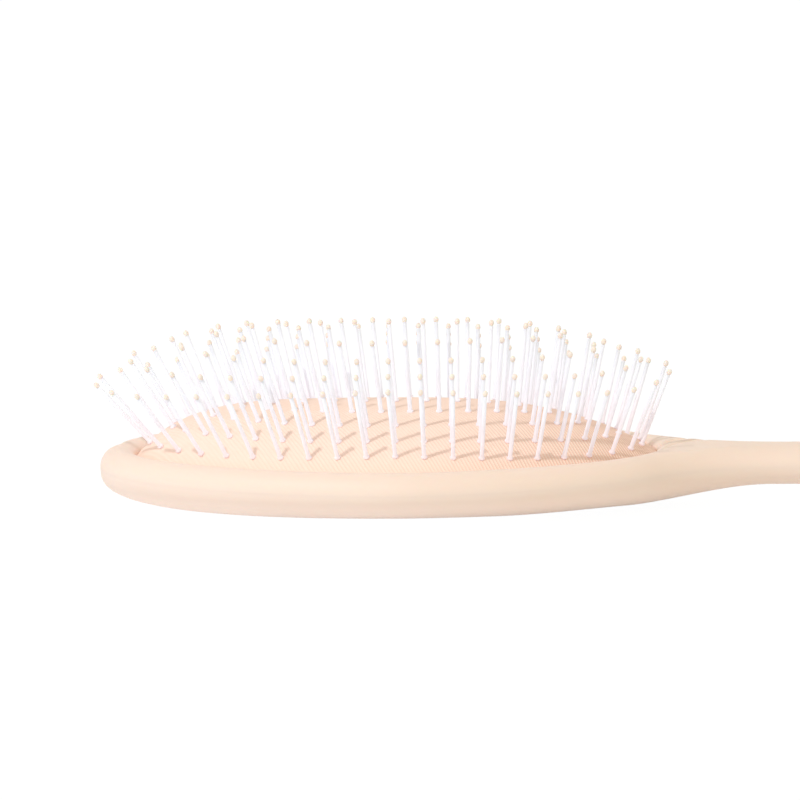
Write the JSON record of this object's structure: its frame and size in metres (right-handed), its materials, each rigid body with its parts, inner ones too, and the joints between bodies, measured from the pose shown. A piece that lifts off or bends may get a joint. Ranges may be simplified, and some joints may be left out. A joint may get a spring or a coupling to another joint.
{
  "type": "detangling brush",
  "caption": "Hand-held detangling hair brush: hollow oval head and slim handle, air-cushioned rubber dome, separate ball-tipped pins that sink with it.",
  "frame": {"origin": "on the flat ground on the belly that the brush rests on, under the middle of the cushion", "axes": "+X along the handle, from the head to the handle's end; +Z the way the pins point; +Y across the head"},
  "size_m": [0.2359, 0.0708, 0.0389],
  "materials": {
    "soft_touch_body": "ABS with a soft-touch coat, satin to matt peach",
    "cushion_rubber": "matt peach silicone rubber with very fine ribs",
    "pin_nylon": "semi-clear white nylon, satin",
    "bead_plastic": "dipped peach bead, satin"
  },
  "bodies": {
    "body": {"front_frame": "soft_touch_body", "back_shell": "soft_touch_body", "cushion": "cushion_rubber"},
    "outer_toe_pins": {"pins_outer_toe": "pin_nylon", "tips_outer_toe": "bead_plastic"},
    "outer_neck_pins": {"pins_outer_neck": "pin_nylon", "tips_outer_neck": "bead_plastic"},
    "second_toe_pins": {"pins_second_toe": "pin_nylon", "tips_second_toe": "bead_plastic"},
    "second_neck_pins": {"pins_second_neck": "pin_nylon", "tips_second_neck": "bead_plastic"},
    "third_toe_pins": {"pins_third_toe": "pin_nylon", "tips_third_toe": "bead_plastic"},
    "third_neck_pins": {"pins_third_neck": "pin_nylon", "tips_third_neck": "bead_plastic"},
    "inner_toe_pins": {"pins_inner_toe": "pin_nylon", "tips_inner_toe": "bead_plastic"},
    "inner_neck_pins": {"pins_inner_neck": "pin_nylon", "tips_inner_neck": "bead_plastic"},
    "centre_pins": {"pins_centre": "pin_nylon", "tips_centre": "bead_plastic"}
  },
  "joints": [
    {"name": "cushion_press", "type": "slide", "parent": "body", "child": "centre_pins", "axis": [0, 0, -1], "range_m": [0, 0.004], "stiffness_N_per_m": 1500, "deforming": ["cushion"]},
    {"name": "outer_toe_sink", "type": "slide", "parent": "body", "child": "outer_toe_pins", "axis": [0, 0, -1], "range_m": [0, 0.00109]},
    {"name": "outer_neck_sink", "type": "slide", "parent": "body", "child": "outer_neck_pins", "axis": [0, 0, -1], "range_m": [0, 0.00083]},
    {"name": "second_toe_sink", "type": "slide", "parent": "body", "child": "second_toe_pins", "axis": [0, 0, -1], "range_m": [0, 0.00225]},
    {"name": "second_neck_sink", "type": "slide", "parent": "body", "child": "second_neck_pins", "axis": [0, 0, -1], "range_m": [0, 0.0019]},
    {"name": "third_toe_sink", "type": "slide", "parent": "body", "child": "third_toe_pins", "axis": [0, 0, -1], "range_m": [0, 0.00323]},
    {"name": "third_neck_sink", "type": "slide", "parent": "body", "child": "third_neck_pins", "axis": [0, 0, -1], "range_m": [0, 0.00291]},
    {"name": "inner_toe_sink", "type": "slide", "parent": "body", "child": "inner_toe_pins", "axis": [0, 0, -1], "range_m": [0, 0.00385]},
    {"name": "inner_neck_sink", "type": "slide", "parent": "body", "child": "inner_neck_pins", "axis": [0, 0, -1], "range_m": [0, 0.00364]}
  ],
  "couplings": [
    {"joint": "outer_toe_sink", "follows": "cushion_press", "ratio": 0.272},
    {"joint": "outer_neck_sink", "follows": "cushion_press", "ratio": 0.207},
    {"joint": "second_toe_sink", "follows": "cushion_press", "ratio": 0.56},
    {"joint": "second_neck_sink", "follows": "cushion_press", "ratio": 0.473},
    {"joint": "third_toe_sink", "follows": "cushion_press", "ratio": 0.806},
    {"joint": "third_neck_sink", "follows": "cushion_press", "ratio": 0.727},
    {"joint": "inner_toe_sink", "follows": "cushion_press", "ratio": 0.96},
    {"joint": "inner_neck_sink", "follows": "cushion_press", "ratio": 0.909}
  ]
}
